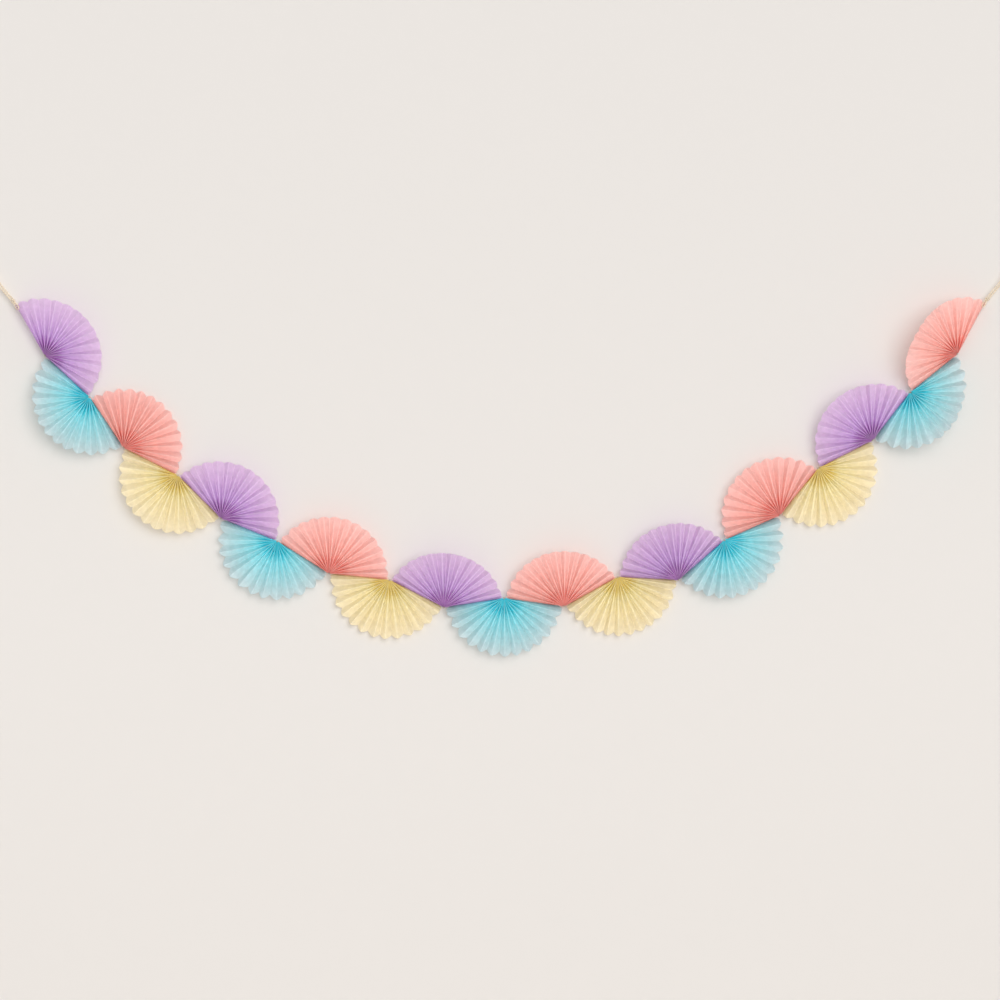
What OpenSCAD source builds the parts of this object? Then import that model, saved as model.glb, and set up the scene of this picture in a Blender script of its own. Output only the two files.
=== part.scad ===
// Paper fan banner: pleated paper fans, turned up and down by turns and glued edge to edge
// into a garland that hangs from a loop of twine at each end.
// Millimetres, +Z up, +X along the banner, the front faces -Y. The origin is the left hook's place.

/* [Fan] */
// Length of a pleat, from the middle of the fan to the tip of a ridge
fan_r = 73; // [60:1:88]
// Radius at which the gathered pleats begin
hub_r = 2.6; // [2.4:0.1:5]
// Number of ridges on a fan, without its two end pleats
ridges = 13; // [11:1:16]
// Width of one pleat, fold to fold
pleat_w = 10.6; // [9:0.2:14]
// Thickness of the paper
paper_t = 0.15; // [0.1:0.01:0.25]
// How far the scalloped rim is cut back at the valleys, on lilac, aqua, coral and yellow paper
scallops = [4, 6, 4, 4.5]; // [1:0.5:8]
// How far the front edge of a glued end pleat springs open, in pleats, on lilac, aqua, coral and yellow paper
springs = [0.35, 0.55, 0.25, 0.3]; // [0:0.05:0.8]

/* [Garland] */
// Gap between a fan's rim and the middle of the next fan
rim_gap = 2; // [1.8:0.1:4]
// Thickness of the glue between two end pleats
glue_line = 0.1; // [0.05:0.01:0.3]

/* [Glue bead] */
// Distance of the bead from the front of the pleats
bead_recess = 4; // [1:0.1:5]
// Distance of the bead from the back of the pleats
bead_inset = 1.3; // [0.5:0.1:3]
// Chamfer of the bead's ends
bead_chamfer = 0.6; // [0.3:0.1:1.2]
// Clearance between the bead and the pleats round it
bead_clear = 0.1; // [0.05:0.05:0.3]
// Radius of the drop that stands out between the glued edges
drop_r = 1.2; // [0.8:0.1:1.7]

/* [Twine] */
// Diameter of the twine
twine_d = 2.4; // [1.4:0.1:2.6]
// Angle at which the twine rises to the hook
hang_angle = 50; // [40:1:60]
// Length of the knot
knot_l = 5; // [4:0.1:7]
// Distance of the twine's hole from the tip of the end pleat
eye_inset = 7; // [5:0.5:10]
// Distance of the twine's hole in front of the middle of the end pleat
eye_front = 1.5; // [0:0.1:2]
// Clearance of the twine in its hole, all round
eye_clear = 0.5; // [0.3:0.1:0.8]

/* [Hidden] */
// Heading of each glued edge, left to right, in degrees above the horizontal
headings = [-60, -43, -56, -27, -45, -22, -32, -6, -27, 9, -8, 29, -3, 41, 24, 51, 27, 52, 39, 62];
// How far each fan leans out from the wall, in degrees, and the share of its opening at which it leans the most
leans = [18, 18, 0, 9, 14, 5, 14, 0, 21, 6, 18, 0, 13, 8, 7, 0, 18, 27, 35];
lean_peaks = [0.7, 0.35, 0.5, 0.35, 0.65, 0.6, 0.65, 0.5, 0.5, 0.4, 0.4, 0.5, 0.4, 0.35, 0.35, 0.5, 0.35, 0.65, 0.55];
// Half of a hanging loop, past the knot, to the far end of the bight: along the twine, then to its side
half_loop = [
    [12, 1.3], [20, 1.3], [27, 1.5], [34, 2.3], [41, 3.8], [47, 4.8], [52, 5.1], [55.5, 4.5], [57.5, 2.6], [58.2, 0]
];
// How far each strand lies from the middle of the loop where it leaves the knot
strand_side = 1.25;
paper_colours = ["#cba4d3", "#8accd8", "#f8a39f", "#ebd696"];
glue_colour = "#d9d6d2";
twine_colour = "#dcc3a6";

fans = len(headings) - 1;
// Distance from the tip of the garland to the hook, which bears on the inside of the bight
hang_l = half_loop[len(half_loop) - 1][0] - twine_d / 2;
// Length of a glued edge, from the middle of one fan to the middle of the next
seam_l = fan_r + rim_gap;
folds = 2 * ridges + 2;
// Distance from the middle of a glued edge to the middle of the paper on either side
end_offset = (paper_t + glue_line) / 2;
// Most that the paper measures from front to back on a slanting pleat
pressed_t = 7 * paper_t;
// Room left in the crease beside an end pleat, as a share of what the paper takes there
crease_share = 1.25;
// Radius of the row of points between the hub and the rim
mid_share = 0.55;
mid_r = hub_r + mid_share * (fan_r - hub_r);
// Points of the rim on one pleat, as shares of its width from the front fold
scallop_steps = [0, 0.5, 0.85];
steps = len(scallop_steps);
bead_r = hub_r - bead_clear;
bead_front = bead_recess - pleat_w / 2;
bead_back = pleat_w / 2 - bead_inset;
// Angle left free between the bead and the glued edges
bead_trim = 8;
// Radius of the bend of the eye of twine, and of the hole that it passes through
eye_r = (twine_d + eye_clear) / 2;
hole_r = fan_r - eye_inset;
hole_d = twine_d + 2 * eye_clear;
// The knot: two turns of twine round a core
knot_turn_r = 0.75 * twine_d;
knot_core_r = 1.5 * knot_turn_r;
twine_sides = 8;

function direction(angle) = [cos(angle), 0, sin(angle)];
// Spot 0 is the left tip, spots 1 to 19 are the middles of the fans and spot 20 is the right tip
function spot(i) = i == 0
    ? -hang_l * direction(180 - hang_angle)
    : spot(i - 1) + seam_l * direction(headings[i - 1]);
function is_up(i) = i % 2 == 1;
// A fan opens anticlockwise, seen from the front, from its first edge
function first_edge(i) = is_up(i) ? headings[i] : 180 + headings[i - 1];
function opening(i) = 180 + (is_up(i) ? 1 : -1) * (headings[i - 1] - headings[i]);
function paper(i) = (i - 1) % len(paper_colours);

// A pleated strip: fold 0 is the front edge of the first end pleat, odd folds lie at the back
// and even ones at the front. The two end pleats are glued along their back edges.
function is_front(k) = k % 2 == 0;
function is_end_edge(k) = k == 0 || k == folds;
function end_side(k) = k <= 1 ? 1 : k >= folds - 1 ? -1 : 0;
function pleat_angle(i) = opening(i) / (2 * ridges);
function fold_angle(i, k) = min(max(k - 1, 0), 2 * ridges) * pleat_angle(i);
// Distance between neighbouring folds across the fan, and from front to back
function pitch(i, r) = 2 * r * sin(pleat_angle(i) / 2);
function depth(i, k, r) = end_side(k) != 0 ? pleat_w : sqrt(pow(pleat_w, 2) - pow(pitch(i, r), 2));
// How far the front edge of an end pleat stands open. The two that carry the twine stay closed.
function carries_twine(i, k) = i == 1 && k == folds || i == fans && k == 0;
function spring(i, k, r) = is_end_edge(k) && !carries_twine(i, k) ? springs[paper(i)] * pitch(i, r) : 0;
// Thickness of a slanting pleat, measured from front to back. Where the folds are pressed flat it stops growing,
// but the inside of the crease beside an end pleat keeps clear of that pleat.
function slant_t(i, k, r) =
    let (t = paper_t * pleat_w / pitch(i, r))
    end_side(k) == 0 ? min(t, pressed_t) : crease_share * t;
// Place of a fold on one face of the paper, face 0 in front: across the fan, then back
function fold_across(i, k, r, face) = end_side(k) * (end_offset + spring(i, k, r) + (0.5 - face) * paper_t);
function fold_back(i, k, r, face) =
    is_end_edge(k) ? pleat_w / 2 - sqrt(pow(pleat_w, 2) - pow(spring(i, k, r), 2))
    : is_front(k) ? -depth(i, k, r) / 2 + face * slant_t(i, k, r)
    : depth(i, k, r) / 2 - (1 - face) * slant_t(i, k, r);

function mix(a, b, q) = a + (b - a) * q;
function lean(i, angle) =
    let (share = angle / opening(i), peak = lean_peaks[i - 1])
    leans[i - 1] * sin(90 * (share < peak ? share / peak : (1 - share) / (1 - peak)));
// A point of the paper of fan i on pleat k, a share q of the way to the next fold. Beyond the hub the pleats lean out.
function paper_point(i, k, q, r, face) =
    let (
        angle = mix(fold_angle(i, k), fold_angle(i, k + 1), q),
        across = mix(fold_across(i, k, r, face), fold_across(i, k + 1, r, face), q),
        back = q == 0 ? fold_back(i, k, r, face) : mix(fold_back(i, k, r, face), fold_back(i, k + 1, r, face), q),
        tilt = lean(i, angle),
        bend = r > hub_r ? tilt : 0,
        out = hub_r + (r - hub_r) * cos(tilt) + back * sin(bend)
    )
    out * direction(angle) + across * direction(angle + 90)
        + [0, back * cos(bend) - (r - hub_r) * sin(tilt), 0];

// Rim radius at a share u of a pleat's width from its front fold: a quarter of an ellipse
function rim_r(i, u) = fan_r - scallops[paper(i)] * (1 - sqrt(1 - u * u));
function rim_share(k, j) = is_front(k) ? scallop_steps[j] : j == 0 ? 0 : 1 - scallop_steps[steps - j];
function rim_point(i, k, q, face) = paper_point(i, k, q, rim_r(i, is_front(k) ? q : 1 - q), face);

function face_points(i, face) = concat(
    [for (k = [0:folds]) paper_point(i, k, 0, hub_r, face)],
    [for (k = [0:folds]) paper_point(i, k, 0, mid_r, face)],
    [for (k = [0:folds - 1], j = [0:steps - 1]) rim_point(i, k, rim_share(k, j), face)],
    [rim_point(i, folds, 0, face)]
);
function hub_at(k) = k;
function mid_at(k) = folds + 1 + k;
function rim_at(n) = 2 * (folds + 1) + n;
face_size = 2 * (folds + 1) + folds * steps + 1;

// Each pleat's inner part is cut from the hub end of the fold that lies nearer its end pleat
function inner_faces(k) = k <= ridges
    ? [[hub_at(k), hub_at(k + 1), mid_at(k + 1)], [hub_at(k), mid_at(k + 1), mid_at(k)]]
    : [[hub_at(k + 1), mid_at(k + 1), mid_at(k)], [hub_at(k + 1), mid_at(k), hub_at(k)]];
front_faces = [for (k = [0:folds - 1]) each [
    each inner_faces(k),
    [mid_at(k), rim_at(steps * k + 1), rim_at(steps * k)],
    [mid_at(k), mid_at(k + 1), rim_at(steps * k + 1)],
    for (j = [1:steps - 1]) [mid_at(k + 1), rim_at(steps * k + j + 1), rim_at(steps * k + j)]
]];
back_faces = [for (f = front_faces) [f[2] + face_size, f[1] + face_size, f[0] + face_size]];
edge_loop = concat(
    [for (k = [0:folds]) hub_at(k)],
    [mid_at(folds)],
    [for (n = [folds * steps:-1:0]) rim_at(n)],
    [mid_at(0)]
);
edge_faces = [for (i = [0:len(edge_loop) - 1])
    let (a = edge_loop[i], b = edge_loop[(i + 1) % len(edge_loop)])
    each [[b, a, a + face_size], [b, a + face_size, b + face_size]]
];

// Turns what follows so that its X axis points along an angle in the plane of the wall
module aim(angle) {
    rotate([0, -angle, 0]) children();
}

module pleated_fan(i) {
    translate(spot(i)) aim(first_edge(i))
        polyhedron(
            concat(face_points(i, 0), face_points(i, 1)),
            concat(front_faces, back_faces, edge_faces),
            convexity = 2 * ridges
        );
}

// The hole for the twine, through the end pleat that points along an angle from the middle of fan i
module twine_hole(i, angle) {
    translate(spot(i)) aim(angle) translate([hole_r, -eye_front, 0])
        cylinder(d = hole_d, h = hole_d, center = true, $fn = 32);
}

module fan(i) {
    color(paper_colours[paper(i)])
        difference() {
            pleated_fan(i);
            if (i == 1) twine_hole(i, 180 + headings[0]);
            if (i == fans) twine_hole(i, headings[fans]);
        }
}

module glue_bead(i) {
    color(glue_colour) translate(spot(i)) {
        aim(first_edge(i) + bead_trim) rotate([90, 0, 0])
            rotate_extrude(angle = opening(i) - 2 * bead_trim, $fn = 48)
                polygon([
                    [0, -bead_back],
                    [bead_r - bead_chamfer, -bead_back],
                    [bead_r, bead_chamfer - bead_back],
                    [bead_r, -bead_front - bead_chamfer],
                    [bead_r - bead_chamfer, -bead_front],
                    [0, -bead_front]
                ]);
        translate([0, bead_back - drop_r, 0]) sphere(drop_r, $fn = 32);
    }
}

// The eye of twine that straddles the end pleat, along X from the knot to the hole
module twine_eye(side) {
    bend_x = seam_l - hole_r - eye_r;
    translate([0, -eye_front, side * end_offset]) {
        for (z = [-eye_r, eye_r])
            translate([0, 0, z]) rotate([0, 90, 0]) cylinder(d = twine_d, h = bend_x, $fn = 24);
        translate([bend_x, 0, 0]) rotate([90, 0, 0]) rotate([0, 0, -90])
            rotate_extrude(angle = 180, $fn = 24) translate([eye_r, 0]) circle(d = twine_d, $fn = 24);
    }
}

module knot(tip, pleat_direction, twine_direction, side) {
    color(twine_colour) translate(tip) {
        aim(twine_direction) rotate([0, 90, 0]) {
            cylinder(r = knot_core_r, h = knot_l, $fn = 32);
            for (z = [-twine_d / 2, twine_d / 2])
                translate([0, 0, knot_l / 2 + z]) rotate_extrude($fn = 32)
                    translate([knot_turn_r, 0]) circle(d = twine_d, $fn = 24);
        }
        aim(180 + pleat_direction) twine_eye(side);
    }
}

// A tube along a flat route, with a ring square to the route at each point and both ends flat on the knot
function route_heading(route, i) =
    i == 0 ? 0
    : i == len(route) - 1 ? 180
    : let (step = route[i + 1] - route[i - 1]) atan2(step[1], step[0]);
function ring(route, i) = [for (n = [0:twine_sides - 1])
    let (
        turn = 360 * n / twine_sides,
        side = twine_d / 2 * cos(turn),
        heading = route_heading(route, i) + 90
    )
    [route[i][0] + side * cos(heading), twine_d / 2 * sin(turn), route[i][1] + side * sin(heading)]
];
module tube(route) {
    last = len(route) - 1;
    sides = twine_sides;
    polyhedron(
        [for (i = [0:last]) each ring(route, i)],
        concat(
            [[for (n = [sides - 1:-1:0]) n]],
            [for (i = [0:last - 1], n = [0:sides - 1])
                let (a = i * sides + n, b = i * sides + (n + 1) % sides)
                each [[a, b, b + sides], [a, b + sides, a + sides]]],
            [[for (n = [0:sides - 1]) last * sides + n]]
        )
    );
}

module twine_loop(tip, twine_direction) {
    out = concat([[knot_l, strand_side]], half_loop);
    route = concat(out, [for (i = [len(out) - 2:-1:0]) [out[i][0], -out[i][1]]]);
    color(twine_colour) translate(tip) aim(twine_direction) tube(route);
}

module twine_left() { twine_loop(spot(0), 180 - hang_angle); }
module twine_right() { twine_loop(spot(fans + 1), hang_angle); }
module knot_left() { knot(spot(0), 180 + headings[0], 180 - hang_angle, 1); }
module knot_right() { knot(spot(fans + 1), headings[fans], hang_angle, -1); }

function numbered(name, i) = str(name, i < 10 ? "_0" : "_", i);

for (i = [1:fans]) {
    fan(i);
    glue_bead(i);
}
twine_left();
twine_right();
knot_left();
knot_right();
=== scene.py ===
"""Paper fan banner: pleated paper fans, loops of twine and dried glue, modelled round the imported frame."""

import math

import bpy
import numpy as np
from bpy.props import FloatProperty, FloatVectorProperty, IntProperty, PointerProperty
from bpy.types import Operator, Panel, PropertyGroup
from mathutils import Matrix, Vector


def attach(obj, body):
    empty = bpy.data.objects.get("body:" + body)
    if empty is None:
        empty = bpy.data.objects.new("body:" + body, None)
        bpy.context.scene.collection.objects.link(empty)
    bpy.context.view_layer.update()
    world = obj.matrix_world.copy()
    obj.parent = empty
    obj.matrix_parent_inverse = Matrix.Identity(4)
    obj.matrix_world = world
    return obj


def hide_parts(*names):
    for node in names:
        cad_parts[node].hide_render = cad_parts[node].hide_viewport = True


bl_info = {
    "name": "Paper Fan Banner",
    "version": (1, 0, 0),
    "blender": (4, 5, 0),
    "location": "View3D > Sidebar > Paper Banner",
    "description": "Pleated paper fans glued edge to edge, with a loop of twine at each end",
    "category": "Add Mesh",
}

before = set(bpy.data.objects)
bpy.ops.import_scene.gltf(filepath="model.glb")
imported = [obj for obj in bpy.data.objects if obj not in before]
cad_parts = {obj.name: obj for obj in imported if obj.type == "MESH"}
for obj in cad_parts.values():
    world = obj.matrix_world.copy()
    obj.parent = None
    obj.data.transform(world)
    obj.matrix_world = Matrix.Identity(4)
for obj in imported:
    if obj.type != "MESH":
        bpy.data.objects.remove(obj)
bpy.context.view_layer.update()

MM = 0.001
# Heading of each glued edge, left to right, above the horizontal
HEADINGS = np.radians([-60, -43, -56, -27, -45, -22, -32, -6, -27, 9, -8, 29, -3, 41, 24, 51, 27, 52, 39, 62])
# How far each fan leans out from the wall, and the share of its opening at which it leans the most
LEANS = np.radians([18, 18, 0, 9, 14, 5, 14, 0, 21, 6, 18, 0, 13, 8, 7, 0, 18, 27, 35])
LEAN_PEAKS = (0.7, 0.35, 0.5, 0.35, 0.65, 0.6, 0.65, 0.5, 0.5, 0.4,
              0.4, 0.5, 0.4, 0.35, 0.35, 0.5, 0.35, 0.65, 0.55)
# Half of a hanging loop, past the knot, to the far end of the bight: along the twine, then to its side
HALF_LOOP = MM * np.array([[12, 1.3], [20, 1.3], [27, 1.5], [34, 2.3], [41, 3.8],
                           [47, 4.8], [52, 5.1], [55.5, 4.5], [57.5, 2.6], [58.2, 0]])
FANS = len(HEADINGS) - 1
FORWARDS = np.array([0, -1, 0])
PAPERS = ("lilac", "aqua", "coral", "yellow")
# Name of the map that says where a point lies on the flat strip, in metres
STRIP_MAP = "strip"
# Pleats from one fan's strip to the next one's on the map
STRIP_STEP = 60
# Columns of points on one pleat: how far each is round the crest of its first fold, then along the flat,
# then round the crest of its last fold
FIRST_CREST = np.array([0, 1 / 3, 2 / 3, 1, 1, 1, 1, 1, 1, 1])
ON_FLAT = np.array([0, 0, 0, 0, 0.25, 0.5, 0.75, 1, 1, 1])
LAST_CREST = np.array([0, 0, 0, 0, 0, 0, 0, 0, 1 / 3, 2 / 3])
# Places of the rings of points, as shares of the way from the gathered radius to the rim
RINGS = np.array([0, 0.03, 0.07, 0.12, 0.2, 0.3, 0.4, 0.5, 0.6, 0.7, 0.8, 0.88, 0.94, 0.98, 1])
# How the rim falls back from the tip of a scallop: a higher power makes the tip rounder
SCALLOP_POWER = 1.6
# Share of the way out at which a pleat has bent to its full lean
BEND_SHARE = 0.55
# How much a crest's radius stays under the distance between two folds, in thicknesses of paper
CREST_CLEAR = 0.6
# Faces that meet at less than this angle are shaded as one
PAPER_SMOOTH = math.radians(40)
TWINE_SMOOTH = math.radians(50)

# Where a paper has its painted shade, its own and its pale colour, in shares of the way out. The colour at
# the gathered middle is painted shade: darker and more saturated where the gathered pleats shade each other.
SHADE_AND_DYE_STOPS = (0.06, 0.3, 0.95)
# Painted light and shade near the middle: how much paler a ridge and how much deeper a valley are painted, in
# shares of the way out
RIDGE_LIGHT_VALLEY_SHADE = (0.05, -0.2)
# Pleats in a bunch, and how much paler or deeper a bunch is painted, as painted light and shade
BUNCH = 2.5
BUNCH_LIGHT_SHADE = 0.08
# Shares of the way out between which the painted light and shade of ridges, valleys and bunches fade away
PAINTED_LIGHT_SHADE_FADE = (0.1, 0.6)
# Sockets 1 and 2 of a Map Range: most values of a noise lie between these
FROM_NOISE = {1: 0.3, 2: 0.7}

# Radius in the groove between the two plies, as a share of the twine's radius
GROOVE = 0.72
# Turns of twine in a knot, and their radius and rise in diameters of twine
KNOT_TURNS = 2
TURN_RADIUS = 0.75
TURN_RISE = 0.95
# Distance between the points that say where a cord runs
CORD_STEP = 4 * MM


def linear(code):
    """Linear colour of an sRGB hex code."""
    channels = [int(code[i:i + 2], 16) / 255 for i in (1, 3, 5)]
    return tuple(c / 12.92 if c <= 0.04045 else ((c + 0.055) / 1.055) ** 2.4 for c in channels)


def size(name, description, default):
    """Setting that is a length in metres."""
    return FloatProperty(name=name, description=description, default=default, min=0, precision=5,
                         unit="LENGTH")


def colour(name, description, code):
    """Setting that is a colour, from its sRGB hex code."""
    return FloatVectorProperty(name=name, description=description, default=linear(code), min=0, max=1,
                               size=3, subtype="COLOR")


def share_of(name, description, default):
    """Setting that is a share, from 0 to 1."""
    return FloatProperty(name=name, description=description, default=default, min=0, max=1, subtype="FACTOR")


class FanSettings(PropertyGroup):
    radius: size("Pleat length", "From the middle of the fan to the tip of a ridge", 73 * MM)
    hub: size("Hub radius", "Radius from which the pleats lean out", 2.6 * MM)
    gather: size("Gathered radius", "Radius at which the gathered pleats begin", 1.3 * MM)
    ridges: IntProperty(name="Ridges", description="Ridges on a fan, without its end pleats",
                        default=13, min=5)
    pleat: size("Pleat width", "Width of one pleat, fold to fold", 10.6 * MM)
    thickness: size("Paper thickness", "Thickness of the paper", 0.15 * MM)
    scallops: FloatVectorProperty(name="Scallops",
                                  description="How far the rim is cut back at the valleys, by paper",
                                  default=(4 * MM, 7 * MM, 4.5 * MM, 5 * MM), size=4, precision=5,
                                  unit="LENGTH")
    springs: FloatVectorProperty(name="Springs",
                                 description="How far a glued end pleat's front edge springs open, "
                                             "in pleats, by paper",
                                 default=(0.45, 0.65, 0.35, 0.45), size=4)
    rim_gap: size("Rim gap", "From a fan's rim to the middle of the next fan", 2 * MM)
    glue_line: size("Glue line", "Thickness of the glue between two end pleats", 0.1 * MM)
    crest: size("Crest radius", "Radius of the paper round a fold", 0.52 * MM)
    crest_spread: FloatProperty(name="Crest spread",
                                description="How far a crest spreads where the pleats are gathered, "
                                            "in pleats",
                                default=0.68, min=0, max=0.8)
    uneven: FloatProperty(name="Unevenness", description="How far a fold strays from its place, in pleats",
                          default=0.13, min=0, max=0.4)
    wander: size("Wander", "How far a fold bows or shifts along its length", 0.5 * MM)


class PaperSettings(PropertyGroup):
    # The gathered colours are painted shade: each paper darker and more saturated at the middle, where the
    # gathered pleats shade each other
    lilac_painted_shade: colour("Lilac, gathered", "Lilac paper at the middle of a fan", "#deb0e5")
    lilac: colour("Lilac", "Lilac paper a third of the way out", "#f1e1f7")
    lilac_pale: colour("Lilac, rim", "Lilac paper at the rim", "#eadbec")
    aqua_painted_shade: colour("Aqua, gathered", "Aqua paper at the middle of a fan", "#74f5fd")
    aqua: colour("Aqua", "Aqua paper a third of the way out", "#d8fbfe")
    aqua_pale: colour("Aqua, rim", "Aqua paper at the rim", "#e1eaec")
    coral_painted_shade: colour("Coral, gathered", "Coral paper at the middle of a fan", "#ffc5bc")
    coral: colour("Coral", "Coral paper a third of the way out", "#ffe6e1")
    coral_pale: colour("Coral, rim", "Coral paper at the rim", "#f8dfdb")
    yellow_painted_shade: colour("Yellow, gathered", "Yellow paper at the middle of a fan", "#fff4b2")
    yellow: colour("Yellow", "Yellow paper a third of the way out", "#fffbe7")
    yellow_pale: colour("Yellow, rim", "Yellow paper at the rim", "#f6f0df")
    # The colour of the broken fibres on the folds is partly real fibre damage and partly a painted highlight
    # along the creases
    fibre: colour("Broken fibre", "Fibres that show on a worn fold", "#fff6f2")
    wear_and_highlight: share_of("Wear", "How much of the broken fibre's colour shows on a fold", 0.18)
    wear_width: size("Wear width", "How far broken fibres show on either side of a fold", 0.25 * MM)
    through: share_of("Light through", "Share of the light that passes through the paper", 0.78)


class TwineSettings(PropertyGroup):
    diameter: size("Twine diameter", "Thickness of the twine", 2.4 * MM)
    ply_turn: size("Ply turn", "Length of twine in which the two plies turn once", 7 * MM)
    hang_angle: FloatProperty(name="Hang angle", description="Angle at which the twine rises to the hook",
                              default=math.radians(50), unit="ROTATION", subtype="ANGLE")
    knot: size("Knot length", "Length of the knot", 5 * MM)
    strand_side: size("Strand side", "From the middle of the loop to a strand at the knot", 1.25 * MM)
    eye_inset: size("Eye inset", "From the tip of the end pleat to the hole", 7 * MM)
    eye_front: size("Eye front", "From the middle of the end pleat forwards to the hole", 1.5 * MM)
    eye_clear: size("Eye clearance", "Clearance of the twine in its hole, all round", 0.5 * MM)
    natural: colour("Natural", "Light fibre of the twine", "#f0e3cf")
    shaded: colour("Shaded", "Darker fibre of the twine", "#d8c3a4")


class GlueSettings(PropertyGroup):
    milky: colour("Milky", "Dried glue", "#cfc6b8")
    clear: colour("Clear", "Thin dried glue, where it turns clearer", "#b9ad9c")


class StageSettings(PropertyGroup):
    distance: size("Camera distance", "From the camera to the plane of the fans", 6.0)
    view_width: size("View width", "Width of the view at the plane of the fans", 1.2315)
    view_centre: FloatVectorProperty(name="View centre", description="Middle of the view",
                                     default=(0.6344, 0, -0.2864), size=3, subtype="XYZ", unit="LENGTH")
    floor_z: FloatProperty(name="Floor height", description="Height of the floor", default=-1.0,
                           unit="LENGTH")
    floor_size: size("Floor size", "Length of each side of the floor", 6.0)
    wall_size: size("Wall size", "Length of each side of the wall, which stands on the floor", 4.0)
    wall_gap: size("Wall gap", "From the back of the pleats to the wall", 2 * MM)
    key_from: FloatVectorProperty(name="Key from", description="Direction that the main light comes from",
                                  default=(0.3, -0.92, 0.24), size=3, subtype="DIRECTION")
    key: FloatProperty(name="Key", description="Strength of the main light", default=1.6, min=0)
    key_angle: FloatProperty(name="Key angle", description="Width of the main light, seen from the fans",
                             default=math.radians(50), unit="ROTATION", subtype="ANGLE")
    ambient: FloatProperty(name="Ambient", description="Strength of the even light all round",
                           default=0.6, min=0)
    back: FloatProperty(name="Back", description="Power of the lamp behind the wall", default=58, min=0,
                        unit="POWER")
    back_from: FloatVectorProperty(name="Back from",
                                   description="Place of that lamp, from the middle of the view",
                                   default=(0, 2.5, 1.2), size=3, subtype="XYZ", unit="LENGTH")
    back_size: size("Back size", "Length of each side of that lamp", 2.0)
    pale: colour("Pale", "Floor and wall", "#e2deda")


class BannerSettings(PropertyGroup):
    fan: PointerProperty(type=FanSettings)
    paper: PointerProperty(type=PaperSettings)
    twine: PointerProperty(type=TwineSettings)
    glue: PointerProperty(type=GlueSettings)
    stage: PointerProperty(type=StageSettings)


def direction(angle):
    """Unit vector in the plane of the wall."""
    return np.array([math.cos(angle), 0, math.sin(angle)])


def spots(banner):
    """Left tip, the middle of each fan and right tip, along the glued edges."""
    hang = HALF_LOOP[-1][0] - banner.twine.diameter / 2
    places = [-hang * direction(math.pi - banner.twine.hang_angle)]
    for heading in HEADINGS:
        places.append(places[-1] + (banner.fan.radius + banner.fan.rim_gap) * direction(heading))
    return places


def opens_up(number):
    return number % 2 == 1


def first_edge(number):
    """A fan opens anticlockwise, seen from the front, from its first edge."""
    return HEADINGS[number] if opens_up(number) else math.pi + HEADINGS[number - 1]


def opening(number):
    turn = HEADINGS[number - 1] - HEADINGS[number]
    return math.pi + (turn if opens_up(number) else -turn)


def pleat_count(fan):
    """Pleats on a strip: two to a ridge, and the two end pleats."""
    return 2 * fan.ridges + 2


def paper_of(number):
    """Papers follow each other along the garland."""
    return (number - 1) % len(PAPERS)


def select_only(piece):
    bpy.ops.object.select_all(action="DESELECT")
    piece.select_set(True)
    bpy.context.view_layer.objects.active = piece


def new_piece(name, points, faces):
    mesh = bpy.data.meshes.new(name)
    mesh.from_pydata([tuple(p) for p in points], [], faces)
    piece = bpy.data.objects.new(name, mesh)
    bpy.context.collection.objects.link(piece)
    return piece


def set_map(piece, name, places):
    """Gives each corner of the piece's faces the place of its point on a map."""
    corners = np.empty(len(piece.data.loops), dtype=int)
    piece.data.loops.foreach_get("vertex_index", corners)
    layer = piece.data.uv_layers.new(name=name)
    layer.data.foreach_set("uv", places[corners].astype(np.float32).ravel())


def apply_modifier(piece, kind, **settings):
    select_only(piece)
    bpy.ops.object.modifier_add(type=kind)
    modifier = piece.modifiers[-1]
    for key, value in settings.items():
        setattr(modifier, key, value)
    bpy.ops.object.modifier_apply(modifier=modifier.name)


def node(tree, kind, inputs=None, **settings):
    """Adds a node with its settings. An input is a value, or a socket to link it to."""
    made = tree.nodes.new(kind)
    for key, value in settings.items():
        setattr(made, key, value)
    for key, value in (inputs or {}).items():
        if isinstance(value, bpy.types.NodeSocket):
            tree.links.new(value, made.inputs[key])
        else:
            made.inputs[key].default_value = value
    return made


def new_material(name):
    material = bpy.data.materials.new(name)
    material.use_nodes = True
    material.node_tree.nodes.clear()
    return material, material.node_tree


def rgba(values):
    return (*values, 1)


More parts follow.
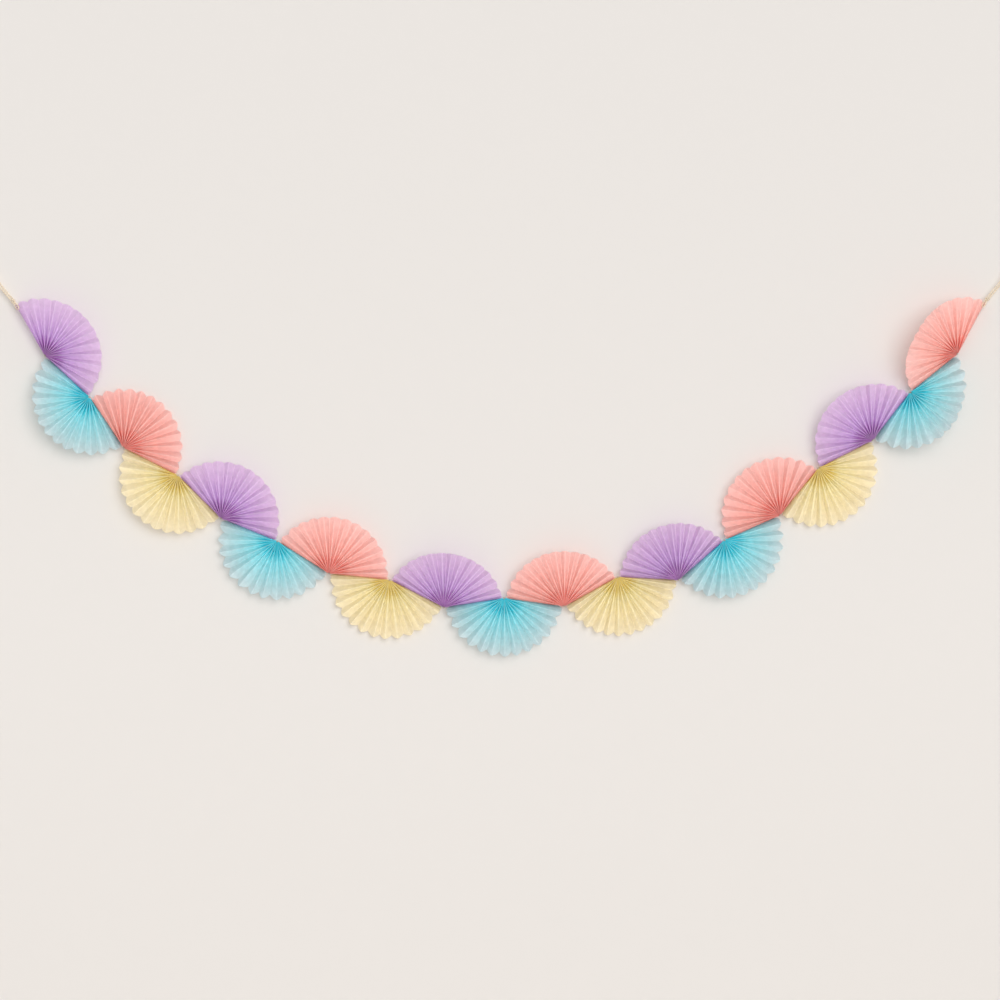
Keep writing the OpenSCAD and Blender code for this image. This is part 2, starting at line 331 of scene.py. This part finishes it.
def dyed_paper_with_painted_shade(banner, name):
    """Thin craft paper dyed in the pulp, pleated by hand: matt and a little fibrous, with paler broken fibres
    and a painted highlight on the folds. Most light passes through it. Near the middle its colour is painted
    deeper and darker as painted shade, most where the pleats are gathered, in the valleys and in some
    bunches, with painted light on the ridges."""
    fan, paper = banner.fan, banner.paper
    material, tree = new_material(f"dyed_paper_with_painted_shade_{name}")
    strip = node(tree, "ShaderNodeUVMap", uv_map=STRIP_MAP).outputs["UV"]
    parts = node(tree, "ShaderNodeSeparateXYZ", {"Vector": strip})

    # Painted light and shade near the middle: valleys are painted deeper than ridges, and some bunches of
    # pleats deeper than others
    outwards = node(tree, "ShaderNodeMath", {0: parts.outputs["Y"], 1: fan.radius}, operation="DIVIDE")
    pleats = node(tree, "ShaderNodeMath", {0: parts.outputs["X"], 1: fan.pleat}, operation="DIVIDE")
    valley = node(tree, "ShaderNodeMath", {0: pleats.outputs[0], 1: 1.0}, operation="PINGPONG")
    ridge_valley_light_shade = node(tree, "ShaderNodeMapRange",
                  {"Value": valley.outputs[0], 3: RIDGE_LIGHT_VALLEY_SHADE[0], 4: RIDGE_LIGHT_VALLEY_SHADE[1]})
    bunch = node(tree, "ShaderNodeTexNoise", {"W": pleats.outputs[0], "Scale": 1 / BUNCH, "Detail": 1.0},
                 noise_dimensions="1D")
    bunch_light_shade = node(tree, "ShaderNodeMapRange",
                   {"Value": bunch.outputs["Fac"], **FROM_NOISE, 3: -BUNCH_LIGHT_SHADE, 4: BUNCH_LIGHT_SHADE})
    painted_light_shade = node(tree, "ShaderNodeMath", {0: ridge_valley_light_shade.outputs["Result"], 1: bunch_light_shade.outputs["Result"]})
    gathered = node(tree, "ShaderNodeMapRange",
                    {"Value": outwards.outputs[0], 1: PAINTED_LIGHT_SHADE_FADE[0], 2: PAINTED_LIGHT_SHADE_FADE[1], 3: 1.0, 4: 0.0})
    at = node(tree, "ShaderNodeMath",
              {0: painted_light_shade.outputs[0], 1: gathered.outputs["Result"], 2: outwards.outputs[0]},
              operation="MULTIPLY_ADD")
    # Painted shade: the colour runs from painted shade at the gathered middle to the paper's own colour and
    # its rim colour
    shade_and_dye = node(tree, "ShaderNodeValToRGB", {"Fac": at.outputs[0]})
    ramp = shade_and_dye.color_ramp
    painted_shade_at, body_at, pale_at = SHADE_AND_DYE_STOPS
    ramp.elements[0].position, ramp.elements[0].color = painted_shade_at, rgba(getattr(paper, f"{name}_painted_shade"))
    ramp.elements[1].position, ramp.elements[1].color = pale_at, rgba(getattr(paper, f"{name}_pale"))
    ramp.elements.new(body_at).color = rgba(getattr(paper, name))

    # Clouds of pulp, some 6 mm across
    clouds = node(tree, "ShaderNodeTexNoise", {"Vector": strip, "Scale": 1 / (6 * MM), "Detail": 3.0})
    cloudy = node(tree, "ShaderNodeMapRange",
                  {"Value": clouds.outputs["Fac"], **FROM_NOISE, 3: 0.94, 4: 1.04})
    # Fibres lie along the strip, 3 mm long. Real ones are some hundredths of a millimetre wide, and drawn
    # at 0.3 mm so that they show.
    lie = node(tree, "ShaderNodeMapping", {"Vector": strip, "Scale": (1 / (3 * MM), 1 / (0.3 * MM), 1)})
    fibres = node(tree, "ShaderNodeTexNoise", {"Vector": lie.outputs["Vector"], "Scale": 1.0, "Detail": 2.0})
    mottled = node(tree, "ShaderNodeHueSaturation",
                   {"Color": shade_and_dye.outputs["Color"], "Value": cloudy.outputs["Result"]})

    # Broken fibres, and a painted highlight along the creases, show paler on either side of a fold
    from_fold = node(tree, "ShaderNodeMath", {0: pleats.outputs[0], 1: 0.5}, operation="PINGPONG")
    fold_wear_and_highlight = node(tree, "ShaderNodeMapRange",
                {"Value": from_fold.outputs[0], 1: 0.0, 2: paper.wear_width / fan.pleat,
                 3: paper.wear_and_highlight, 4: 0.0})
    # Sockets 6 and 7 of this node, and its output 2, are its colours
    creased_and_highlit = node(tree, "ShaderNodeMix",
                   {0: fold_wear_and_highlight.outputs["Result"], 6: mottled.outputs["Color"], 7: rgba(paper.fibre)},
                   data_type="RGBA")
    tint = creased_and_highlit.outputs[2]

    rough = node(tree, "ShaderNodeMapRange",
                 {"Value": fibres.outputs["Fac"], **FROM_NOISE, 3: 0.82, 4: 0.95})
    grain = node(tree, "ShaderNodeBump",
                 {"Height": fibres.outputs["Fac"], "Strength": 0.25, "Distance": 0.05 * MM})
    face = node(tree, "ShaderNodeBsdfPrincipled",
                {"Base Color": tint, "Roughness": rough.outputs["Result"], "Specular IOR Level": 0.3,
                 "Normal": grain.outputs["Normal"]})
    through = node(tree, "ShaderNodeBsdfTranslucent", {"Color": tint, "Normal": grain.outputs["Normal"]})
    sheet = node(tree, "ShaderNodeMixShader", {0: paper.through, 1: face.outputs[0], 2: through.outputs[0]})
    node(tree, "ShaderNodeOutputMaterial", {"Surface": sheet.outputs[0]})
    return material


def cotton_twine(twine):
    """Two-ply natural cotton twine, spun and twisted: dull and hairy, with lighter and darker slubs."""
    material, tree = new_material("cotton_twine")
    place = node(tree, "ShaderNodeTexCoord").outputs["Object"]
    # Slubs some 1.5 mm long and fibres of 0.15 mm, which stand for finer ones
    slubs = node(tree, "ShaderNodeTexNoise", {"Vector": place, "Scale": 1 / (1.5 * MM), "Detail": 3.0})
    fibres = node(tree, "ShaderNodeTexNoise", {"Vector": place, "Scale": 1 / (0.15 * MM), "Detail": 2.0})
    spun = node(tree, "ShaderNodeValToRGB", {"Fac": slubs.outputs["Fac"]})
    spun.color_ramp.elements[0].position, spun.color_ramp.elements[0].color = 0.3, rgba(twine.shaded)
    spun.color_ramp.elements[1].position, spun.color_ramp.elements[1].color = 0.6, rgba(twine.natural)
    rough = node(tree, "ShaderNodeMapRange",
                 {"Value": fibres.outputs["Fac"], **FROM_NOISE, 3: 0.8, 4: 0.98})
    hair = node(tree, "ShaderNodeBump",
                {"Height": fibres.outputs["Fac"], "Strength": 0.5, "Distance": 0.15 * MM})
    yarn = node(tree, "ShaderNodeBsdfPrincipled",
                {"Base Color": spun.outputs["Color"], "Roughness": rough.outputs["Result"],
                 "Specular IOR Level": 0.2, "Normal": hair.outputs["Normal"], "Sheen Weight": 0.15})
    node(tree, "ShaderNodeOutputMaterial", {"Surface": yarn.outputs[0]})
    return material


def dried_glue(glue):
    """White craft glue, dried: milky, softly glossy and a little uneven from the nozzle."""
    material, tree = new_material("dried_glue")
    place = node(tree, "ShaderNodeTexCoord").outputs["Object"]
    # Lumps of about a millimetre
    lumps = node(tree, "ShaderNodeTexNoise", {"Vector": place, "Scale": 1 / (1 * MM), "Detail": 2.0})
    tint = node(tree, "ShaderNodeValToRGB", {"Fac": lumps.outputs["Fac"]})
    tint.color_ramp.elements[0].position, tint.color_ramp.elements[0].color = 0.35, rgba(glue.clear)
    tint.color_ramp.elements[1].position, tint.color_ramp.elements[1].color = 0.65, rgba(glue.milky)
    rough = node(tree, "ShaderNodeMapRange",
                 {"Value": lumps.outputs["Fac"], **FROM_NOISE, 3: 0.3, 4: 0.5})
    skin = node(tree, "ShaderNodeBump",
                {"Height": lumps.outputs["Fac"], "Strength": 0.4, "Distance": 0.3 * MM})
    bead = node(tree, "ShaderNodeBsdfPrincipled",
                {"Base Color": tint.outputs["Color"], "Roughness": rough.outputs["Result"], "IOR": 1.47,
                 "Normal": skin.outputs["Normal"]})
    node(tree, "ShaderNodeOutputMaterial", {"Surface": bead.outputs[0]})
    return material


def one_sided_wall(stage):
    """Matt emulsion paint on a wall that can be seen through from behind."""
    material, tree = new_material("matt_wall_paint")
    paint = node(tree, "ShaderNodeBsdfPrincipled",
                 {"Base Color": rgba(stage.pale), "Roughness": 0.95, "Specular IOR Level": 0.1})
    clear = node(tree, "ShaderNodeBsdfTransparent")
    side = node(tree, "ShaderNodeNewGeometry").outputs["Backfacing"]
    wall = node(tree, "ShaderNodeMixShader", {0: side, 1: paint.outputs[0], 2: clear.outputs[0]})
    node(tree, "ShaderNodeOutputMaterial", {"Surface": wall.outputs[0]})
    return material


def plain_floor(stage):
    """Matt painted board."""
    material, tree = new_material("matt_floor_paint")
    paint = node(tree, "ShaderNodeBsdfPrincipled",
                 {"Base Color": rgba(stage.pale), "Roughness": 0.9, "Specular IOR Level": 0.1})
    node(tree, "ShaderNodeOutputMaterial", {"Surface": paint.outputs[0]})
    return material


def fan_surface(fan, number):
    """Middle surface of a pleated fan: its points, by column and ring, and their places on the flat strip."""
    chance = np.random.default_rng(number)
    folds = pleat_count(fan)
    open_angle, lean, peak = opening(number), LEANS[number - 1], LEAN_PEAKS[number - 1]
    pleat_angle = open_angle / (2 * fan.ridges)
    end_offset = (fan.thickness + fan.glue_line) / 2
    paper = paper_of(number)

    # Folds 0 and 1 are the two edges of the first end pleat, which stands square to the wall
    fold = np.arange(folds + 1)
    inner = (fold > 1) & (fold < folds - 1)
    fold_angle = np.clip(fold - 1, 0, 2 * fan.ridges) * pleat_angle
    fold_angle = fold_angle + inner * chance.uniform(-fan.uneven, fan.uneven, folds + 1) * pleat_angle
    end_side = np.where(fold <= 1, 1, np.where(fold >= folds - 1, -1, 0))
    facing = np.where(fold % 2 == 0, -1, 1)
    shift = inner * chance.uniform(-fan.wander, fan.wander, folds + 1)
    bow = inner * chance.uniform(-fan.wander, fan.wander, folds + 1)
    bulge = chance.uniform(-fan.wander, fan.wander, folds)
    bulge[[0, -1]] = 0

    pleat = np.append(np.repeat(np.arange(folds), len(ON_FLAT)), folds - 1)
    first, flat, last = (np.append(np.tile(row, folds), 1)[:, None]
                         for row in (FIRST_CREST, ON_FLAT, LAST_CREST))
    crest_share = fan.crest * math.pi / 2 / fan.pleat
    share = (crest_share * (first + last) + (1 - 2 * crest_share) * flat)[:, 0]

    def between(values, at):
        return values[pleat] * (1 - at) + values[pleat + 1] * at

    from_front = np.where(pleat % 2 == 0, share, 1 - share)
    rim = fan.radius - fan.scallops[paper] * from_front ** SCALLOP_POWER
    r = fan.gather + (rim - fan.gather)[:, None] * RINGS
    out_share = np.clip((r - fan.hub) / (fan.radius - fan.hub), 0, 1)

    # The front edge of a glued end pleat springs open. The two that carry the twine stay closed.
    pitch = 2 * r * math.sin(pleat_angle / 2)
    sprung = {0: number != FANS, folds: number != 1}
    slanted = np.sqrt(fan.pleat ** 2 - pitch ** 2)

    def fold_place(k):
        """Where each column's fold k lies, across the fan and back, at the radius of each ring."""
        k = k[:, None]
        opened = np.where((k == 0) & sprung[0] | (k == folds) & sprung[folds], fan.springs[paper] * pitch, 0)
        depth = np.where(inner[k], slanted, fan.pleat) / 2 - fan.thickness / 2
        edge = fan.pleat / 2 - np.sqrt(fan.pleat ** 2 - opened ** 2)
        return end_side[k] * (end_offset + opened), np.where((k == 0) | (k == folds), edge, facing[k] * depth)

    (across_a, back_a), (across_b, back_b) = fold_place(pleat), fold_place(pleat + 1)
    # An end pleat is glued at its back, and flares towards its front edge
    flare = np.where(pleat == 0, 1 - (1 - share) ** 2, np.where(pleat == folds - 1, share ** 2, share))
    across = across_a * (1 - flare[:, None]) + across_b * flare[:, None]

    # A pleat goes a certain way sideways and back, round the crests of its two folds. The folds of an end
    # pleat have no crests.
    sideways, backwards = r * np.diff(fold_angle)[pleat][:, None], back_b - back_a
    crest_r = np.minimum(np.minimum(fan.crest, fan.crest_spread * pitch), pitch - CREST_CLEAR * fan.thickness)
    crest_turn = np.arctan2(slanted, pitch)

    def round_crest(k, at):
        """How far sideways and back a column has come, at a share of the way round its fold k's crest."""
        round_it = inner[k][:, None]
        return (np.where(round_it, crest_r * np.sin(at * crest_turn), at * crest_share * sideways),
                np.where(round_it, np.sign(backwards) * crest_r * (1 - np.cos(at * crest_turn)),
                         at * crest_share * backwards))

    def along_pleat(way, total):
        begun, left = round_crest(pleat, first)[way], round_crest(pleat + 1, 1 - last)[way]
        return np.where(last > 0, total - left, begun + flat * (total - left - begun))

    angle = fold_angle[pleat][:, None] + along_pleat(0, sideways) / r
    back = back_a + along_pleat(1, backwards)
    back = back + between(shift, share)[:, None] * out_share
    back = back + between(bow, share)[:, None] * np.sin(math.pi * out_share)
    back = back + (bulge[pleat] * 4 * share * (1 - share))[:, None] * out_share

    opened = angle / open_angle
    tilt = lean * np.sin(math.pi / 2 * np.where(opened < peak, opened / peak, (1 - opened) / (1 - peak)))
    bend = tilt * np.clip(out_share / BEND_SHARE, 0, 1)
    outwards = fan.hub + (r - fan.hub) * np.cos(tilt) + back * np.sin(bend)
    turn = angle + first_edge(number)
    points = np.stack([
        outwards * np.cos(turn) - across * np.sin(turn),
        back * np.cos(bend) - (r - fan.hub) * np.sin(tilt),
        outwards * np.sin(turn) + across * np.cos(turn),
    ], axis=-1)
    along = np.broadcast_to(((pleat + share) * fan.pleat)[:, None], r.shape)
    return points, np.stack([along, r], axis=-1)


def paper_fan(banner, number, place, material):
    fan = banner.fan
    points, flat = fan_surface(fan, number)
    columns, rings = points.shape[:2]
    faces = [
        (c * rings + j, c * rings + j + 1, (c + 1) * rings + j + 1, (c + 1) * rings + j)
        for c in range(columns - 1) for j in range(rings - 1)
    ]
    piece = new_piece(f"paper_fan_{number:02d}", points.reshape(-1, 3) + place, faces)
    piece.data.materials.append(material)
    apply_modifier(piece, "SOLIDIFY", thickness=fan.thickness, offset=0)
    # No two strips have the same pattern, and on the back of a strip the ridges come one pleat later
    front = flat.reshape(-1, 2) + [number * STRIP_STEP * fan.pleat, 0]
    set_map(piece, STRIP_MAP, np.vstack([front, front + [fan.pleat, 0]]))
    return piece


def punch_hole(banner, piece, place, angle):
    """Cuts the hole for the twine through the end pleat that points along an angle from the fan's middle."""
    twine = banner.twine
    across = twine.diameter + 2 * twine.eye_clear
    bpy.ops.object.select_all(action="DESELECT")
    hole = place + (banner.fan.radius - twine.eye_inset) * direction(angle) + twine.eye_front * FORWARDS
    bpy.ops.mesh.primitive_cylinder_add(vertices=32, radius=across / 2, depth=across, location=hole,
                                        rotation=(0, -angle, 0))
    punch = bpy.context.object
    apply_modifier(piece, "BOOLEAN", operation="DIFFERENCE", solver="EXACT", object=punch)
    select_only(punch)
    bpy.ops.object.delete()


def smooth_route(route, step, parts=24):
    """Points at an even step along a curve that passes through the points of a route. It is drawn in parts
    from each point to the next."""
    padded = np.vstack([2 * route[0] - route[1], route, 2 * route[-1] - route[-2]])
    t = np.linspace(0, 1, parts, endpoint=False)[:, None]
    fine = []
    for a, b, c, d in zip(padded, padded[1:], padded[2:], padded[3:]):
        fine.append(0.5 * (2 * b + (c - a) * t + (2 * a - 5 * b + 4 * c - d) * t ** 2
                           + (3 * b - a - 3 * c + d) * t ** 3))
    fine = np.vstack([*fine, route[-1:]])
    run = np.append(0, np.cumsum(np.linalg.norm(np.diff(fine, axis=0), axis=1)))
    at = np.linspace(0, run[-1], max(2, round(run[-1] / step) + 1))
    return np.stack([np.interp(at, run, fine[:, i]) for i in range(3)], axis=-1)


def twine_tube(twine, route, sides=16, step=0.4 * MM):
    """Two-ply twine along a route: points and faces of a tube whose two plies turn round each other."""
    path = smooth_route(route, step)
    ahead = np.gradient(path, axis=0)
    ahead /= np.linalg.norm(ahead, axis=1)[:, None]
    # Square to the twine, from a direction in which no route starts
    normal = np.cross(ahead[0], [0.3, 1, 0.1])
    around = np.linspace(0, 2 * math.pi, sides, endpoint=False)
    # Outline of two plies side by side, with the groove between them filled by fibres
    reach = twine.diameter / 2 * np.maximum(np.abs(np.cos(around)), GROOVE)
    points = []
    for i, (p, forward) in enumerate(zip(path, ahead)):
        normal = normal - forward * normal.dot(forward)
        normal /= np.linalg.norm(normal)
        other = np.cross(forward, normal)
        turn = around + 2 * math.pi * i * step / twine.ply_turn
        points.append(p + (reach * np.cos(turn))[:, None] * normal + (reach * np.sin(turn))[:, None] * other)
    last = (len(path) - 1) * sides
    faces = [
        (i * sides + n, i * sides + (n + 1) % sides, (i + 1) * sides + (n + 1) % sides, (i + 1) * sides + n)
        for i in range(len(path) - 1) for n in range(sides)
    ]
    caps = [tuple(range(sides - 1, -1, -1)), tuple(range(last, last + sides))]
    return np.vstack(points), faces + caps


def ends(banner):
    """For each end of the garland: its name, tip, direction of the end pleat, direction of the twine, and on
    which side of the glued edge's middle the pleat lies."""
    places = spots(banner)
    rise = banner.twine.hang_angle
    return [
        ("left", places[0], math.pi + HEADINGS[0], math.pi - rise, 1),
        ("right", places[-1], HEADINGS[-1], rise, -1),
    ]


def knot_routes(banner, tip, pleat_angle, twine_angle, side):
    """Routes of the twine in a knot: the eye through the end pleat, then the turns round its two strands."""
    twine, fan = banner.twine, banner.fan
    eye_r = (twine.diameter + twine.eye_clear) / 2
    bend_at = fan.rim_gap + twine.eye_inset - eye_r
    inwards, beside = direction(pleat_angle + math.pi), direction(pleat_angle + 1.5 * math.pi)
    middle = tip + side * (fan.thickness + fan.glue_line) / 2 * beside + twine.eye_front * FORWARDS
    along, sideways = direction(twine_angle), direction(twine_angle + math.pi / 2)
    # A strand starts in the knot, leaves it closer in and less far forward, and comes to its place beside
    # the pleat
    in_knot, leaves, comes = 0.6 * twine.knot, 0.15 * bend_at, 0.65 * bend_at
    closer, forward = 0.7 * eye_r, 0.4 * twine.eye_front
    strands = [
        [tip + in_knot * along - way * twine.diameter / 4 * sideways,
         tip + way * closer * beside + leaves * inwards + forward * FORWARDS,
         middle + way * eye_r * beside + comes * inwards]
        for way in (1, -1)
    ]
    bend = [middle + (bend_at + eye_r * math.cos(a)) * inwards + eye_r * math.sin(a) * beside
            for a in np.radians([90, 60, 30, 0, -30, -60, -90])]
    eye = np.array(strands[0] + bend + strands[1][::-1])

    turn_r, turn_points = TURN_RADIUS * twine.diameter, 24
    t = np.linspace(0, 1, turn_points * KNOT_TURNS + 1)
    swing = 2 * math.pi * KNOT_TURNS * t
    lift = twine.knot / 2 + TURN_RISE * twine.diameter * KNOT_TURNS * (t - 0.5)
    wraps = (tip + lift[:, None] * along + turn_r * np.cos(swing)[:, None] * FORWARDS
             + turn_r * np.sin(swing)[:, None] * sideways)
    return eye, wraps


class BANNER_OT_stage(Operator):
    """Sets up the camera, the lights, the wall and the floor"""
    bl_idname = "banner.stage"
    bl_label = "Stage"

    def execute(self, context):
        banner = context.scene.paper_banner
        stage = banner.stage
        centre = Vector(stage.view_centre)
        bpy.ops.object.select_all(action="DESELECT")
        bpy.ops.object.camera_add(location=centre - Vector((0, stage.distance, 0)),
                                  rotation=(math.radians(90), 0, 0))
        camera = context.object
        camera.name = "camera"
        camera.data.lens = camera.data.sensor_width * stage.distance / stage.view_width
        context.scene.camera = camera

        key_from = Vector(stage.key_from).normalized()
        bpy.ops.object.light_add(type="SUN", location=centre + stage.distance / 2 * key_from)
        key = context.object
        key.name = "key"
        key.rotation_euler = key_from.to_track_quat("Z", "Y").to_euler()
        key.data.energy, key.data.angle = stage.key, stage.key_angle

        back_from = Vector(stage.back_from)
        bpy.ops.object.light_add(type="AREA", location=centre + back_from)
        back = context.object
        back.name = "back"
        back.rotation_euler = back_from.to_track_quat("Z", "Y").to_euler()
        back.data.energy, back.data.size = stage.back, stage.back_size

        bpy.ops.mesh.primitive_plane_add(size=stage.floor_size, location=(centre.x, 0, stage.floor_z))
        floor = context.object
        floor.name = "floor"
        floor.data.materials.append(plain_floor(stage))
        wall_y, wall_z = banner.fan.pleat / 2 + stage.wall_gap, stage.floor_z + stage.wall_size / 2
        bpy.ops.mesh.primitive_plane_add(size=stage.wall_size, location=(centre.x, wall_y, wall_z),
                                         rotation=(math.radians(90), 0, 0))
        wall = context.object
        wall.name = "wall"
        wall.data.materials.append(one_sided_wall(stage))
        wall.visible_shadow = False

        world = bpy.data.worlds.new("studio")
        context.scene.world = world
        world.use_nodes = True
        tree = world.node_tree
        tree.nodes.clear()
        rays = node(tree, "ShaderNodeLightPath")
        lit = node(tree, "ShaderNodeBackground", {"Color": (1, 1, 1, 1), "Strength": stage.ambient})
        seen = node(tree, "ShaderNodeBackground", {"Color": rgba(stage.pale), "Strength": 1.0})
        shown = node(tree, "ShaderNodeMixShader",
                     {0: rays.outputs["Is Camera Ray"], 1: lit.outputs[0], 2: seen.outputs[0]})
        node(tree, "ShaderNodeOutputWorld", {"Surface": shown.outputs[0]})
        context.scene.view_settings.view_transform = "Standard"
        return {"FINISHED"}


class BANNER_OT_twine(Operator):
    """Makes the knots and the hanging loops of twine"""
    bl_idname = "banner.twine"
    bl_label = "Twine loops and knots"

    def execute(self, context):
        banner = context.scene.paper_banner
        twine = banner.twine
        cotton = cotton_twine(twine)
        for name, tip, pleat_angle, twine_angle, side in ends(banner):
            eye, wraps = knot_routes(banner, tip, pleat_angle, twine_angle, side)
            eye_points, eye_faces = twine_tube(twine, eye)
            wrap_points, wrap_faces = twine_tube(twine, wraps)
            start = len(eye_points)
            knot = new_piece(f"twine_knot_{name}", np.vstack([eye_points, wrap_points]),
                             eye_faces + [tuple(v + start for v in face) for face in wrap_faces])

            out = np.vstack([[twine.knot, twine.strand_side], HALF_LOOP])
            flat = np.vstack([out, (out * [1, -1])[-2::-1]])
            along, sideways = direction(twine_angle), direction(twine_angle + math.pi / 2)
            route = tip + flat[:, :1] * along + flat[:, 1:] * sideways
            loop = new_piece(f"twine_loop_{name}", *twine_tube(twine, route))
            path = smooth_route(route, CORD_STEP)

            for piece in (knot, loop):
                piece.data.materials.append(cotton)
                select_only(piece)
                bpy.ops.object.shade_smooth_by_angle(angle=TWINE_SMOOTH)
                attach(piece, "root")
            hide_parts(f"knot_{name}")
            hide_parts(f"twine_{name}")
        return {"FINISHED"}


class BANNER_OT_fans(Operator):
    """Makes the pleated paper fans"""
    bl_idname = "banner.fans"
    bl_label = "Paper fans"

    def execute(self, context):
        banner = context.scene.paper_banner
        papers = [dyed_paper_with_painted_shade(banner, name) for name in PAPERS]
        places = spots(banner)
        for number in range(1, FANS + 1):
            which = paper_of(number)
            piece = paper_fan(banner, number, places[number], papers[which])
            if number == 1:
                punch_hole(banner, piece, places[number], math.pi + HEADINGS[0])
            if number == FANS:
                punch_hole(banner, piece, places[number], HEADINGS[-1])
            select_only(piece)
            bpy.ops.object.shade_smooth_by_angle(angle=PAPER_SMOOTH)
            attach(piece, "root")
            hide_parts(f"fan_{number:02d}")
        return {"FINISHED"}


class BANNER_OT_glue(Operator):
    """Gives the beads of glue in the gathered middles their finish"""
    bl_idname = "banner.glue"
    bl_label = "Glue beads"

    def execute(self, context):
        glue = dried_glue(context.scene.paper_banner.glue)
        for number in range(1, FANS + 1):
            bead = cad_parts[f"glue_{number:02d}"]
            bead.data.materials.clear()
            bead.data.materials.append(glue)
        return {"FINISHED"}


class BANNER_PT_sidebar(Panel):
    bl_label = "Paper Fan Banner"
    bl_idname = "BANNER_PT_sidebar"
    bl_space_type = "VIEW_3D"
    bl_region_type = "UI"
    bl_category = "Paper Banner"

    def draw(self, context):
        banner = context.scene.paper_banner
        for operator in OPERATORS:
            self.layout.operator(operator.bl_idname)
        for group in (banner.fan, banner.paper, banner.twine, banner.glue, banner.stage):
            box = self.layout.box()
            for key in group.__annotations__:
                box.prop(group, key)


OPERATORS = (BANNER_OT_stage, BANNER_OT_twine, BANNER_OT_fans, BANNER_OT_glue)
CLASSES = (FanSettings, PaperSettings, TwineSettings, GlueSettings, StageSettings, BannerSettings,
           *OPERATORS, BANNER_PT_sidebar)


def register():
    for cls in CLASSES:
        bpy.utils.register_class(cls)
    bpy.types.Scene.paper_banner = PointerProperty(type=BannerSettings)


def unregister():
    del bpy.types.Scene.paper_banner
    for cls in reversed(CLASSES):
        bpy.utils.unregister_class(cls)


def main():
    register()
    bpy.ops.banner.stage()
    bpy.ops.banner.twine()
    bpy.ops.banner.fans()
    bpy.ops.banner.glue()


if __name__ == "__main__":
    main()
